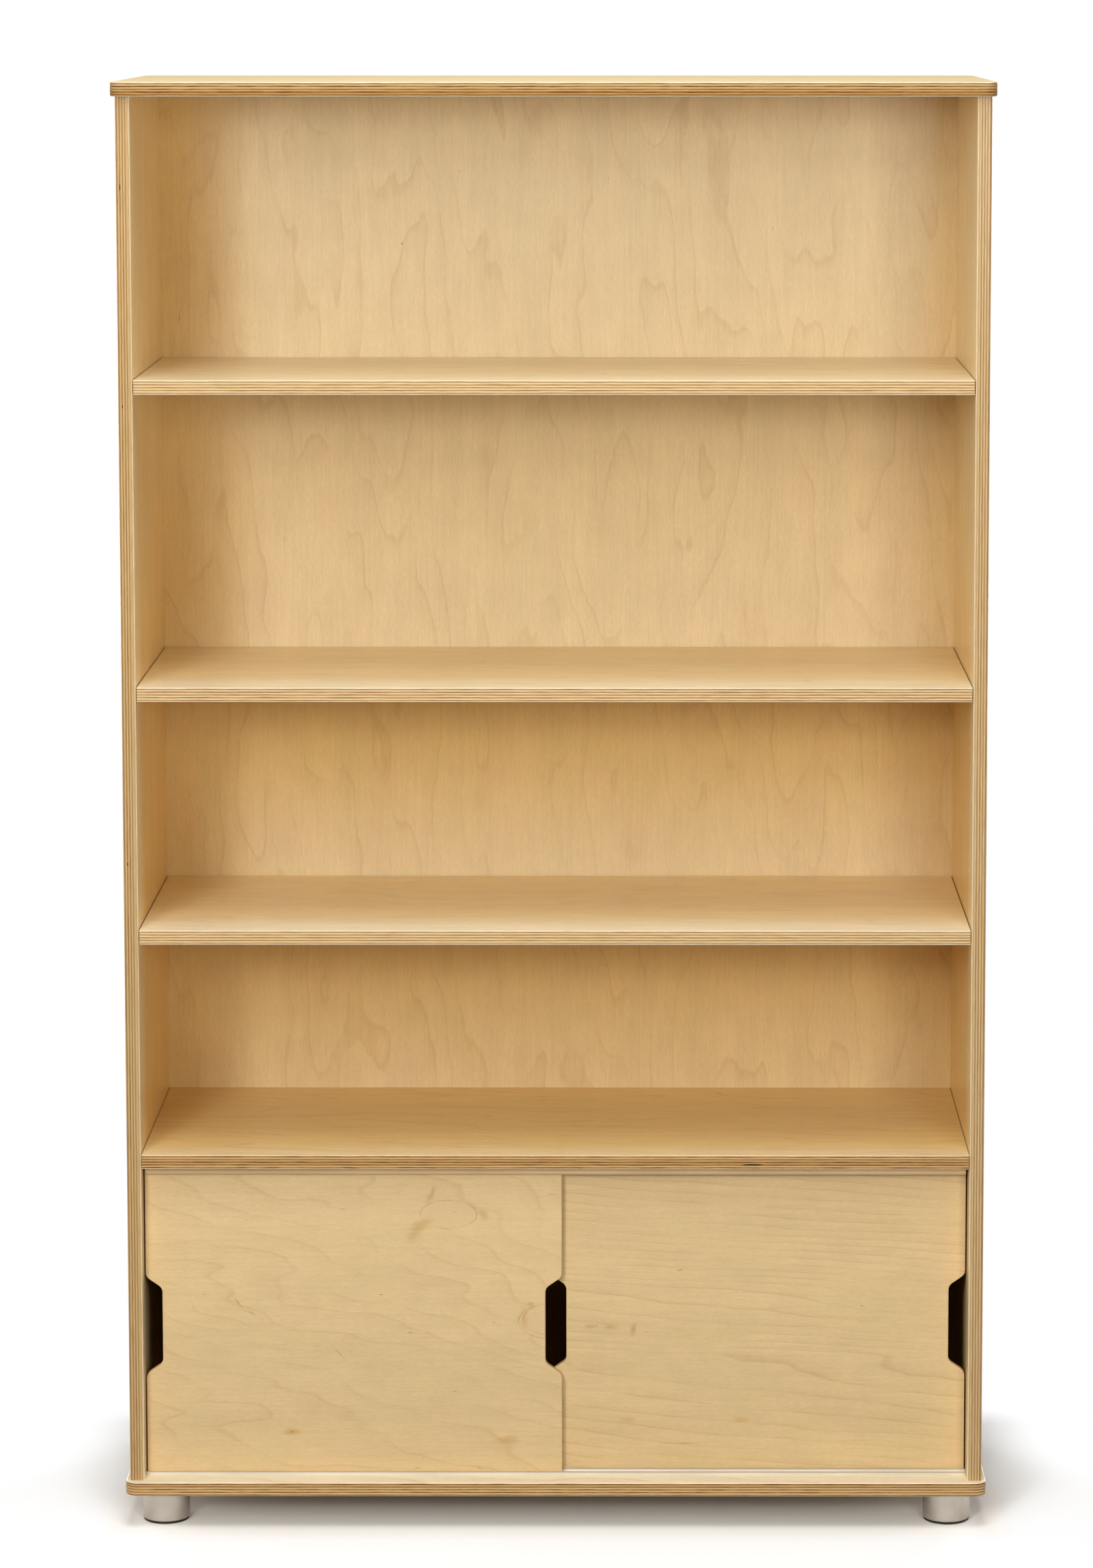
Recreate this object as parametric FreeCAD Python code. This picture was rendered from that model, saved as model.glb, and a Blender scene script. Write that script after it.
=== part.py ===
"""Plywood bookcase with three adjustable shelves over a cabinet with sliding doors.

Millimetres.  +Z is up, the front faces -Y, and the origin lies on the floor under
the middle of the piece.  Each sub-part is written to its own STEP file.
"""
import FreeCAD, Part
import math
import os

# ---- driving dimensions -----------------------------------------------------

# Top and base panels, which stand proud of the carcass all round.
overall_width = 910.0
overall_depth = 364.0
overall_height = 1523.0
ply = 15.0
side_overhang = 5.0
front_overhang = 8.0
rear_overhang = 8.0
corner_radius = 13.0
arris_radius = 2.0

# Side panels: the long front and rear arrises are rounded over.
side_arris_radius = 2.5

# Back panel, let into a groove in the sides, the top and the base.
back_thickness = 9.0
back_recess = 25.0
back_groove_depth = 5.0
back_groove_clearance = 0.2

# Cabinet at the foot, closed above by a fixed deck.
cabinet_height = 336.0
deck_end_gap = 0.6
board_arris_radius = 0.8

# Rows of drilled holes for the shelf pins, a pair of rows in each side.
hole_pitch = 64.0
hole_count = 15
first_hole_height = 104.0
hole_depth = 10.0
front_row_inset = 46.0
rear_row_inset = 42.0
pin_diameter = 5.0
pin_hole_clearance = 0.1
pin_end_clearance = 0.2
pin_reach = 7.0

# Loose shelves, which hide their pins in a groove sawn in each end.  Each is placed by
# the count of holes that lie free below it.
shelf_end_gap = 1.0
shelf_rear_gap = 1.0
shelf_groove_depth = 8.0
shelf_groove_clearance = 0.4
shelf_groove_stop = 8.0
lower_shelf_hole_count = 2
middle_shelf_hole_count = 6
upper_shelf_hole_count = 11

# Sliding doors, which pass each other in two parallel grooves.
door_thickness = 9.0
door_overlap = 13.0
door_side_gap = 1.5
door_groove_clearance = 0.8
door_running_clearance = 0.4
door_lift = 4.0
door_arris_radius = 0.8

# Finger cut-outs in both upright edges of each door.
pull_depth = 17.5
pull_straight = 81.0
pull_slope = 35.0
pull_radius = 9.0
pull_drop = 4.5

# Twin-groove tracks.
track_set_back = 19.0
track_rib = 1.7
track_web = 1.2
upper_track_height = 10.5
lower_track_height = 3.6
upper_track_end_gap = 2.4
lower_track_end_gap = 0.4

# Feet: a turned metal cup with a soft pad pressed in below.
foot_height = 35.0
foot_diameter = 50.0
foot_inset = 40.0
foot_wall = 2.5
foot_top_thickness = 4.0
foot_edge_radius = 1.0
pad_thickness = 2.4
pad_diameter = 48.0
pad_plug_height = 5.0
pad_plug_clearance = 0.1

# Foot fixings: a pan-head screw into a threaded insert in the base panel.
foot_screw_diameter = 6.0
foot_screw_length = 12.5
foot_screw_clearance = 0.4
foot_screw_head_diameter = 12.0
foot_screw_head_height = 3.6
foot_screw_socket = 4.0
foot_screw_socket_depth = 2.0
insert_diameter = 9.0
insert_length = 9.0

# Glued dowels that join the panels.
dowel_diameter = 8.0
dowel_length = 30.0
dowel_in_face = 10.0
dowel_end_gap = 0.5
dowel_hole_clearance = 0.1
dowel_edge_distance = 45.0
dowels_per_joint = 3

# ---- places worked out from them ---------------------------------------------

front_face = -overall_depth / 2
rear_face = overall_depth / 2
side_front = front_face + front_overhang
side_rear = rear_face - rear_overhang
carcass_half_width = overall_width / 2 - side_overhang
inner_half_width = carcass_half_width - ply

base_bottom = foot_height
base_top = base_bottom + ply
deck_bottom = base_top + cabinet_height
deck_top = deck_bottom + ply
top_bottom = overall_height - ply

back_rear = side_rear - back_recess
back_front = back_rear - back_thickness

front_row_y = side_front + front_row_inset
rear_row_y = back_front - rear_row_inset
hole_diameter = pin_diameter + pin_hole_clearance

groove_width = door_thickness + door_groove_clearance
track_pitch = groove_width + track_rib
track_depth = 2 * track_pitch + track_rib
track_front = side_front + track_set_back
door_width = inner_half_width - door_side_gap + door_overlap / 2
door_bottom = base_top + track_web + door_running_clearance
door_top = deck_bottom - track_web - door_lift


# ---- shared shapes -------------------------------------------------------------

def block(x0, x1, y0, y1, z0, z1):
    """A box between two opposite corners."""
    return Part.makeBox(x1 - x0, y1 - y0, z1 - z0, FreeCAD.Vector(x0, y0, z0))


def rod(start, direction, length, diameter):
    """A round bar from its start point along a direction."""
    axis = FreeCAD.Vector(*direction)
    return Part.makeCylinder(diameter / 2, length, FreeCAD.Vector(*start), axis)


def rounded_profile(corners):
    """A closed face on the plane of its corners, each given as (point, radius).

    A corner with a radius is replaced by the arc that touches both its sides.
    """
    edges = []
    stops = []
    count = len(corners)
    for index in range(count):
        point, radius = corners[index]
        to_last = (corners[index - 1][0] - point).normalize()
        to_next = (corners[(index + 1) % count][0] - point).normalize()
        if radius == 0:
            stops.append((point, point))
            continue
        half_angle = to_last.getAngle(to_next) / 2
        reach = radius / math.tan(half_angle)
        start = point + to_last * reach
        end = point + to_next * reach
        bisector = (to_last + to_next).normalize()
        middle = point + bisector * (radius / math.sin(half_angle) - radius)
        edges.append(Part.Arc(start, middle, end).toShape())
        stops.append((start, end))
    for index in range(count):
        start = stops[index][1]
        end = stops[(index + 1) % count][0]
        edges.append(Part.LineSegment(start, end).toShape())
    return Part.Face(Part.Wire(Part.sortEdges(edges)[0]))


def edges_along(shape, direction):
    """The edges of a shape that run along an axis."""
    axis = FreeCAD.Vector(*direction)
    chosen = []
    for edge in shape.Edges:
        if abs(abs(edge.tangentAt(edge.FirstParameter).dot(axis)) - 1) < 0.001:
            chosen.append(edge)
    return chosen


def spread(first, last, count):
    """Evenly spaced places from first to last, both ends included."""
    return [first + (last - first) * index / (count - 1) for index in range(count)]


nodes = {}


def add(name, *solids):
    """Keep a sub-part, made of one solid or of several like ones."""
    nodes[name] = solids[0] if len(solids) == 1 else Part.makeCompound(list(solids))


# ---- dowels and their holes ----------------------------------------------------

dowel_rows_y = spread(side_front + dowel_edge_distance, back_front - dowel_edge_distance, dowels_per_joint)
dowel_x = carcass_half_width - ply / 2
dowel_hole = dowel_diameter + dowel_hole_clearance


def dowel_set(diameter, extra, face_z, up):
    """Upright dowels, or their holes, where both sides meet a panel's face."""
    start_z = face_z - up * (dowel_in_face + extra)
    length = dowel_length + 2 * extra
    shapes = []
    for x in (-dowel_x, dowel_x):
        for y in dowel_rows_y:
            shapes.append(rod((x, y, start_z), (0, 0, up), length, diameter))
    return shapes


def deck_dowel_set(diameter, extra):
    """Level dowels, or their holes, where the deck's ends meet the sides."""
    z = deck_bottom + ply / 2
    length = dowel_length + 2 * extra
    shapes = []
    for side in (-1, 1):
        start_x = side * (inner_half_width + dowel_in_face + extra)
        for y in dowel_rows_y:
            shapes.append(rod((start_x, y, z), (-side, 0, 0), length, diameter))
    return shapes


base_dowel_holes = Part.makeCompound(dowel_set(dowel_hole, dowel_end_gap, base_top, 1))
top_dowel_holes = Part.makeCompound(dowel_set(dowel_hole, dowel_end_gap, top_bottom, -1))
deck_dowel_holes = Part.makeCompound(deck_dowel_set(dowel_hole, dowel_end_gap))


# ---- top and base panels -------------------------------------------------------

def slab(bottom):
    """An overhanging panel with rounded corners and eased edges all round."""
    half = overall_width / 2
    outline = [
        (FreeCAD.Vector(-half, front_face, bottom), corner_radius),
        (FreeCAD.Vector(half, front_face, bottom), corner_radius),
        (FreeCAD.Vector(half, rear_face, bottom), corner_radius),
        (FreeCAD.Vector(-half, rear_face, bottom), corner_radius),
    ]
    panel = rounded_profile(outline).extrude(FreeCAD.Vector(0, 0, ply))
    rim = []
    for edge in panel.Edges:
        if edge.BoundBox.ZLength < ply / 2:
            rim.append(edge)
    return panel.makeFillet(arris_radius, rim)


def back_groove(extra_depth):
    """The space that the back panel's groove takes in the sides, top and base."""
    half = inner_half_width + extra_depth
    rear = back_rear + back_groove_clearance
    return block(-half, half, back_front, rear, base_top - extra_depth, top_bottom + extra_depth)


foot_x = overall_width / 2 - foot_inset
foot_y = overall_depth / 2 - foot_inset
foot_places = {
    "front_left": (-foot_x, -foot_y),
    "front_right": (foot_x, -foot_y),
    "rear_left": (-foot_x, foot_y),
    "rear_right": (foot_x, foot_y),
}

base_panel = slab(base_bottom).cut(back_groove(back_groove_depth)).cut(base_dowel_holes)
for x, y in foot_places.values():
    base_panel = base_panel.cut(rod((x, y, base_bottom), (0, 0, 1), insert_length, insert_diameter))
add("base_panel", base_panel)
add("top_panel", slab(top_bottom).cut(back_groove(back_groove_depth)).cut(top_dowel_holes))
add("base_dowels", *dowel_set(dowel_diameter, 0, base_top, 1))
add("top_dowels", *dowel_set(dowel_diameter, 0, top_bottom, -1))
add("deck_dowels", *deck_dowel_set(dowel_diameter, 0))


# ---- side panels, with their shelf holes ---------------------------------------

hole_heights = [deck_top + first_hole_height + hole_pitch * index for index in range(hole_count)]


def side_panel(side):
    """A side, -1 for the left and 1 for the right, with two rows of holes inside."""
    inner = side * inner_half_width
    outer = side * carcass_half_width
    panel = block(min(inner, outer), max(inner, outer), side_front, side_rear, base_top, top_bottom)
    panel = panel.makeFillet(side_arris_radius, edges_along(panel, (0, 0, 1)))
    holes = []
    for y in (front_row_y, rear_row_y):
        for z in hole_heights:
            holes.append(rod((inner, y, z), (side, 0, 0), hole_depth, hole_diameter))
    panel = panel.cut(Part.makeCompound(holes))
    panel = panel.cut(back_groove(back_groove_depth))
    return panel.cut(base_dowel_holes).cut(top_dowel_holes).cut(deck_dowel_holes)


add("left_side_panel", side_panel(-1))
add("right_side_panel", side_panel(1))


# ---- back panel ------------------------------------------------------------------

back_tongue = back_groove_depth - back_groove_clearance
back_half_width = inner_half_width + back_tongue
back_low = base_top - back_tongue
back_high = top_bottom + back_tongue
add("back_panel", block(-back_half_width, back_half_width, back_front, back_rear, back_low, back_high))


# ---- deck and shelves --------------------------------------------------------------

def board(half_width, rear, bottom):
    """A level board, flush with the side panels in front, with its front edge eased."""
    panel = block(-half_width, half_width, side_front, rear, bottom, bottom + ply)
    level_edges = edges_along(panel, (1, 0, 0))
    front_edges = [edge for edge in level_edges if edge.CenterOfMass.y < (side_front + rear) / 2]
    return panel.makeFillet(board_arris_radius, front_edges)


deck_half_width = inner_half_width - deck_end_gap
add("cabinet_deck", board(deck_half_width, back_front, deck_bottom).cut(deck_dowel_holes))

shelf_half_width = inner_half_width - shelf_end_gap
shelf_rear = back_front - shelf_rear_gap
shelf_groove_height = pin_diameter + shelf_groove_clearance
pin_insertion = hole_depth - pin_end_clearance
pin_length = pin_insertion + pin_reach


def shelf(pin_height):
    """A loose shelf that rests on its pins, with the grooves in its ends over them."""
    groove_top = pin_height + pin_diameter / 2
    groove_bottom = groove_top - shelf_groove_height
    bottom = (groove_top + groove_bottom - ply) / 2
    panel = board(shelf_half_width, shelf_rear, bottom)
    groove_front = front_row_y - pin_diameter / 2 - shelf_groove_stop
    groove_inner = shelf_half_width - shelf_groove_depth
    for x0, x1 in ((-shelf_half_width, -groove_inner), (groove_inner, shelf_half_width)):
        panel = panel.cut(block(x0, x1, groove_front, shelf_rear, groove_bottom, groove_top))
    return panel


def shelf_pins(pin_height):
    """The four pins that carry one shelf, each pushed into its hole."""
    pins = []
    for side in (-1, 1):
        start_x = side * (inner_half_width + pin_insertion)
        for y in (front_row_y, rear_row_y):
            pins.append(rod((start_x, y, pin_height), (-side, 0, 0), pin_length, pin_diameter))
    return pins


shelf_holes = {
    "lower_shelf": lower_shelf_hole_count,
    "middle_shelf": middle_shelf_hole_count,
    "upper_shelf": upper_shelf_hole_count,
}
for shelf_name, holes_below in shelf_holes.items():
    pin_height = hole_heights[holes_below]
    add(shelf_name, shelf(pin_height))
    add(shelf_name + "_pins", *shelf_pins(pin_height))


# ---- door tracks ---------------------------------------------------------------------

def track(half_width, face_z, height, up):
    """A twin-groove channel laid on a face, its ribs pointing up (1) or down (-1)."""
    far_z = face_z + up * height
    web_z = face_z + up * track_web
    channel = block(-half_width, half_width, track_front, track_front + track_depth,
                    min(face_z, far_z), max(face_z, far_z))
    for index in range(2):
        groove_front = track_front + track_rib + index * track_pitch
        channel = channel.cut(block(-half_width, half_width, groove_front, groove_front + groove_width,
                                    min(web_z, far_z), max(web_z, far_z)))
    return channel


add("upper_door_track", track(inner_half_width - upper_track_end_gap, deck_bottom, upper_track_height, -1))
add("lower_door_track", track(inner_half_width - lower_track_end_gap, base_top, lower_track_height, 1))


# ---- sliding doors -------------------------------------------------------------------

pull_rise = pull_depth * math.tan(math.radians(pull_slope))
pull_inner_half = pull_straight / 2
pull_outer_half = pull_inner_half + pull_rise
pull_z = (door_bottom + door_top) / 2 - pull_drop


def door(left_edge, groove_index):
    """A plain plywood door with a rounded finger cut-out in each upright edge."""
    y = track_front + track_rib + groove_index * track_pitch + door_groove_clearance / 2
    right_edge = left_edge + door_width
    left_pull = left_edge + pull_depth
    right_pull = right_edge - pull_depth
    outline = [
        (left_edge, door_bottom, 0),
        (right_edge, door_bottom, 0),
        (right_edge, pull_z - pull_outer_half, pull_radius),
        (right_pull, pull_z - pull_inner_half, pull_radius),
        (right_pull, pull_z + pull_inner_half, pull_radius),
        (right_edge, pull_z + pull_outer_half, pull_radius),
        (right_edge, door_top, 0),
        (left_edge, door_top, 0),
        (left_edge, pull_z + pull_outer_half, pull_radius),
        (left_pull, pull_z + pull_inner_half, pull_radius),
        (left_pull, pull_z - pull_inner_half, pull_radius),
        (left_edge, pull_z - pull_outer_half, pull_radius),
    ]
    face = rounded_profile([(FreeCAD.Vector(x, y, z), radius) for x, z, radius in outline])
    panel = face.extrude(FreeCAD.Vector(0, door_thickness, 0))
    rims = []
    for edge in panel.Edges:
        on_face = edge.BoundBox.YLength < door_thickness / 2
        upright_side = edge.BoundBox.ZLength > edge.BoundBox.XLength * 0.1
        if on_face and upright_side:
            rims.append(edge)
    return panel.makeFillet(door_arris_radius, rims)


add("left_door", door(-inner_half_width + door_side_gap, 0))
add("right_door", door(inner_half_width - door_side_gap - door_width, 1))


# ---- feet ----------------------------------------------------------------------------

pad_plug_diameter = foot_diameter - 2 * foot_wall - 2 * pad_plug_clearance
head_bottom = base_bottom - foot_top_thickness - foot_screw_head_height


def foot(x, y):
    """A metal cup, closed above, its rim eased where it meets the pad."""
    body = rod((x, y, pad_thickness), (0, 0, 1), foot_height - pad_thickness, foot_diameter)
    rim = [edge for edge in body.Edges if abs(edge.CenterOfMass.z - pad_thickness) < 0.01]
    body = body.makeFillet(foot_edge_radius, rim)
    hollow = foot_height - pad_thickness - foot_top_thickness
    body = body.cut(rod((x, y, pad_thickness), (0, 0, 1), hollow, foot_diameter - 2 * foot_wall))
    bore = foot_screw_diameter + foot_screw_clearance
    return body.cut(rod((x, y, pad_thickness), (0, 0, 1), foot_height, bore))


def foot_pad(x, y):
    """A soft disc with a plug that presses up into the cup."""
    disc = rod((x, y, 0), (0, 0, 1), pad_thickness, pad_diameter)
    plug = rod((x, y, 0), (0, 0, 1), pad_thickness + pad_plug_height, pad_plug_diameter)
    return disc.fuse(plug).removeSplitter()


def foot_screw(x, y):
    """A pan-head screw with a hexagon socket, its head inside the cup."""
    head = rod((x, y, head_bottom), (0, 0, 1), foot_screw_head_height, foot_screw_head_diameter)
    shank_length = foot_screw_head_height + foot_screw_length
    shank = rod((x, y, head_bottom), (0, 0, 1), shank_length, foot_screw_diameter)
    middle = FreeCAD.Vector(x, y, head_bottom)
    corner = foot_screw_socket / math.sqrt(3)
    hexagon = []
    for index in range(7):
        angle = math.radians(60 * index)
        hexagon.append(middle + FreeCAD.Vector(math.cos(angle), math.sin(angle), 0) * corner)
    socket = Part.Face(Part.makePolygon(hexagon)).extrude(FreeCAD.Vector(0, 0, foot_screw_socket_depth))
    return head.fuse(shank).removeSplitter().cut(socket)


def foot_insert(x, y):
    """A threaded insert that fills its hole in the base panel."""
    sleeve = rod((x, y, base_bottom), (0, 0, 1), insert_length, insert_diameter)
    return sleeve.cut(rod((x, y, base_bottom), (0, 0, 1), insert_length, foot_screw_diameter))


for place, (x, y) in foot_places.items():
    add(place + "_foot", foot(x, y))
    add(place + "_foot_pad", foot_pad(x, y))
add("foot_screws", *[foot_screw(x, y) for x, y in foot_places.values()])
add("foot_inserts", *[foot_insert(x, y) for x, y in foot_places.values()])


# ---- files -----------------------------------------------------------------------------

os.makedirs("parts", exist_ok=True)
for name, shape in nodes.items():
    shape.exportStep("parts/" + name + ".step")
    print(name, len(shape.Solids), "solid(s),", round(shape.Volume / 1000, 1), "cm3, valid", shape.isValid())
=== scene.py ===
"""A tall bookcase of clear-lacquered birch plywood: three loose shelves over a cabinet with two doors.

The doors slide past each other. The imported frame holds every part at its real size, and this script
gives each one its finish. Places are in metres, with X to the right, Y to the back and Z up from the
floor. The patterns in the finishes are worked out in millimetres.
"""

import math

import bpy
import numpy as np
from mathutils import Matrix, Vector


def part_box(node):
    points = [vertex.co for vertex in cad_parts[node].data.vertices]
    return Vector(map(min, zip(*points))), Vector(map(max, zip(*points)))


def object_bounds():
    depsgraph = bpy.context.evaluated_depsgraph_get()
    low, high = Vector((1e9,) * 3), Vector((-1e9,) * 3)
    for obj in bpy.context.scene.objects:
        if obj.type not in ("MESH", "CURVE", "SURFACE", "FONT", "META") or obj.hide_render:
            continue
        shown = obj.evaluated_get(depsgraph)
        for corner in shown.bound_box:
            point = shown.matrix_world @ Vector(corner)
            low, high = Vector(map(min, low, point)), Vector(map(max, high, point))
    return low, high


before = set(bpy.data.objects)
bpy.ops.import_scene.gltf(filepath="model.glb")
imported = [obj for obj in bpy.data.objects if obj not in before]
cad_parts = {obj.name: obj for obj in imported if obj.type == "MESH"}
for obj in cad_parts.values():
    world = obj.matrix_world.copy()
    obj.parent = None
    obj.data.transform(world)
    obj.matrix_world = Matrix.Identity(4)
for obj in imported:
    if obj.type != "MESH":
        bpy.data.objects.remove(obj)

cad_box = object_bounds()


# ---------------------------------------------------------------------------------------------------
# Base panel: the lowest sheet, 15 mm birch plywood of eleven plies with the grain from side to side.
# Its corners are rounded and its long edges eased on a router, and the whole is sprayed with a satin
# lacquer. It stands proud of the sides, and carries them on glued dowels.

X, Y, Z = 0, 1, 2
MM = 1000.0


def paint(red, green, blue):
    """A colour given as it looks on a screen, 0 to 255, as the linear values that a shader takes."""
    shown = np.array([red, green, blue]) / 255.0
    linear = np.where(shown <= 0.04045, shown / 12.92, ((shown + 0.055) / 1.055) ** 2.4)
    return tuple(linear.tolist())


class Nodes:
    """A node tree, built up one node at a time; each method gives the new node's result."""

    def __init__(self, tree):
        self.tree = tree

    def feed(self, socket, value):
        """Links a result to a socket, or sets the socket to a plain value; a colour is three numbers."""
        if isinstance(value, bpy.types.NodeSocket):
            self.tree.links.new(value, socket)
        elif socket.type == "RGBA":
            socket.default_value = (*value, 1.0)
        else:
            socket.default_value = value

    def node(self, kind, inputs=(), **settings):
        """Adds a node; inputs are pairs of socket and value."""
        node = self.tree.nodes.new("ShaderNode" + kind)
        for key, value in settings.items():
            setattr(node, key, value)
        for key, value in inputs:
            self.feed(node.inputs[key], value)
        return node

    def maths(self, operation, *terms):
        """One step of arithmetic."""
        return self.node("Math", enumerate(terms), operation=operation).outputs[0]

    def vector(self, operation, *terms):
        """One step of arithmetic on three numbers at once."""
        made = self.node("VectorMath", enumerate(terms), operation=operation)
        return made.outputs["Value" if operation == "LENGTH" else "Vector"]

    def scaled(self, colour, factor):
        """A colour made brighter or darker."""
        return self.node("VectorMath", ((0, colour), ("Scale", factor)), operation="SCALE").outputs[0]

    def triple(self, x, y, z):
        """Three numbers as one vector."""
        return self.node("CombineXYZ", enumerate((x, y, z))).outputs[0]

    def axes(self, vector):
        """The three numbers of a vector."""
        return self.node("SeparateXYZ", ((0, vector),)).outputs

    def noise(self, where, detail=2.0, roughness=0.5, distortion=0.0):
        """Smooth noise from 0 to 1 that turns about once in each unit of where."""
        inputs = (("Vector", where), ("Scale", 1.0), ("Detail", detail))
        inputs += (("Roughness", roughness), ("Distortion", distortion))
        return self.node("TexNoise", inputs).outputs["Fac"]

    def cells(self, where, cell, detail=2.0):
        """Noise that turns about once in each cell of the given length, width and height."""
        return self.noise(self.vector("DIVIDE", where, cell), detail)

    def ease(self, value, low, high, start=0.0, end=1.0):
        """Start below low, end above high, and a soft step between them."""
        inputs = (("Value", value), ("From Min", low), ("From Max", high))
        inputs += (("To Min", start), ("To Max", end))
        return self.node("MapRange", inputs, interpolation_type="SMOOTHSTEP").outputs["Result"]

    def clouds(self, noise, start=0.0, end=1.0):
        """Noise, which seldom leaves the range from 0.3 to 0.7, spread out from start to end."""
        return self.ease(noise, 0.3, 0.7, start, end)

    def blend(self, amount, first, second):
        """The first colour where amount is 0, and the second where it is 1."""
        made = self.node("Mix", ((0, amount),), data_type="RGBA")
        colours = [socket for socket in made.inputs if socket.type == "RGBA"]
        self.feed(colours[0], first)
        self.feed(colours[1], second)
        return next(socket for socket in made.outputs if socket.type == "RGBA")

    def bump(self, height, depth_mm):
        """The surface raised by depth_mm where height is 1."""
        return self.node("Bump", (("Height", height), ("Distance", depth_mm / MM))).outputs["Normal"]


class Finish(Nodes):
    """The material of a piece; the names of its shader's settings are written with underscores."""

    def __init__(self, name, **settings):
        self.material = bpy.data.materials.new(name)
        self.material.use_nodes = True
        super().__init__(self.material.node_tree)
        self.shader = self.tree.nodes["Principled BSDF"]
        self.shaded(**settings)
        place = self.node("TexCoord").outputs
        self.spot = place["Object"]
        self.facing = place["Normal"]

    def shaded(self, **inputs):
        """Feeds the shader's inputs, and hands over the material."""
        for key, value in inputs.items():
            self.feed(self.shader.inputs[key.replace("_", " ")], value)
        return self.material

    def in_mm(self, middle=(0.0, 0.0, 0.0)):
        """The place on the object in millimetres, counted from a middle that is given in metres."""
        return self.vector("MULTIPLY", self.vector("SUBTRACT", self.spot, middle), (MM, MM, MM))


# The lacquer is a clear coat, with no second gloss on the wood below it.
LACQUER = {"Specular_IOR_Level": 0.0, "Coat_IOR": 1.25, "Coat_Roughness": 0.18}
VENEER_YELLOW = (0.788, 0.554, 0.219)
VENEER_PINK = (0.797, 0.545, 0.228)
# The paler veneer that the wood is blended toward: painted light where the paling follows the light, and
# a paler tone where it is even.
VENEER_PALE_AND_LIT = (0.808, 0.705, 0.500)
PLUG_WOOD = (0.812, 0.588, 0.298)
RING = paint(186, 138, 84)
BARK = paint(128, 72, 34)
PLY_LONG_LIGHT = paint(238, 210, 156)
PLY_LONG_DARK = paint(216, 180, 124)
PLY_CROSS_LIGHT = paint(200, 156, 98)
PLY_CROSS_DARK = paint(116, 62, 34)
GLUE = paint(84, 44, 24)
# The near-black of a gap in a ply: painted shade for the hollow.
VOID_SHADE = paint(34, 20, 14)

# Cells of the veneer's noises, as a length along the grain and a width across it. Each cloud's third
# number is how much lighter or darker it makes the wood.
ROLLING_MM = (260.0, 70.0)
RIPPLE_MM = (60.0, 22.0)
SHOWN_MM = (110.0, 45.0)
HUE_MM = (70.0, 40.0)
FIBRE_MM = (6.5, 0.8)
PORE_MM = (4.5, 0.5)
CLOUDS_MM = ((70.0, 3.0, 0.02), (150.0, 34.0, 0.022), (28.0, 24.0, 0.014))
RAGGED_MM = (11.0, 3.0)
JOINT_MM = (16.0, 16.0)

FACE_TO_FACE = 3.7
FOLD_CREST_MM = 4.0
RING_SLOW_SHARE = 0.3
RING_END = 0.94
PLUG_JOINT_MM = 0.7
PLY_TO_PLY = 7.3
SANDED_OFF = 0.65


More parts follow.
